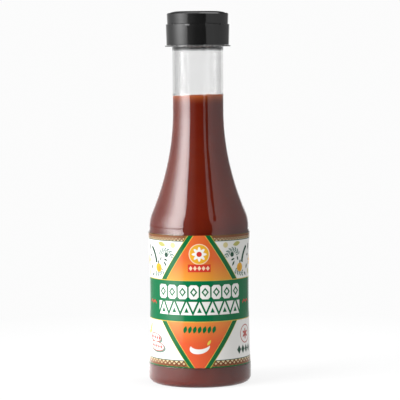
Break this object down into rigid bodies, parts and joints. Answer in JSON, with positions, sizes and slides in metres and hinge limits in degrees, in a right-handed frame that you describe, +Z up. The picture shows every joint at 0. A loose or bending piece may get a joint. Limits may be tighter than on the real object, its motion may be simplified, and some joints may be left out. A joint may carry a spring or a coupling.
{
  "type": "hot sauce bottle",
  "caption": "Clear slim-necked bottle of red hot sauce with a printed wrap-round label and a shut black flip-top cap.",
  "frame": {"origin": "centre of the base, on the surface that the bottle stands on", "axes": "+Z up along the bottle, -Y towards the front of the label, +X to the right of someone who faces the label"},
  "size_m": [0.051, 0.051, 0.1843],
  "materials": {
    "clear_plastic": "clear glossy plastic",
    "sauce": "dark red smooth sauce",
    "label": "printed film label, satin",
    "black_plastic": "moulded black plastic, semi-gloss"
  },
  "bodies": {
    "root": {"bottle": "clear_plastic", "sauce": "sauce", "label": "label", "cap_base": "black_plastic", "cap_lid": "black_plastic"}
  },
  "joints": []
}
